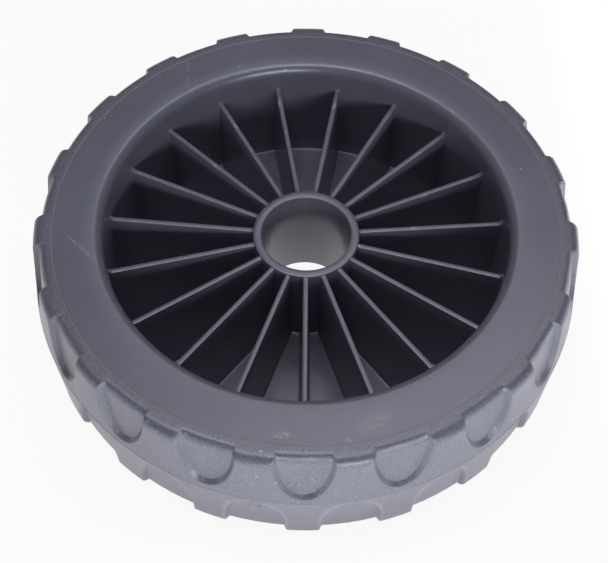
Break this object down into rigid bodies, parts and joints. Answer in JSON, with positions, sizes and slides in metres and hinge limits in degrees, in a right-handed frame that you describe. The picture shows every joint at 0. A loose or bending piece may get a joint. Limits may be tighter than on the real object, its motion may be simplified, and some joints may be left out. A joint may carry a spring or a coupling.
{
  "type": "lawn mower wheel",
  "caption": "Moulded plastic wheel with staggered tread pockets, a deep dish with radial ribs, and a plain hub bore for an axle.",
  "frame": {"origin": "on the axle line, half way between the rim face and the end of the hub", "axes": "+Z along the axle, out of the open ribbed side; +X and +Y across the wheel, with one rib along -Y"},
  "size_m": [0.183, 0.183, 0.0488],
  "materials": {
    "wheel": "satin moulded, dark slate grey with light scuffs"
  },
  "bodies": {
    "root": {"wheel": "wheel"}
  },
  "joints": []
}
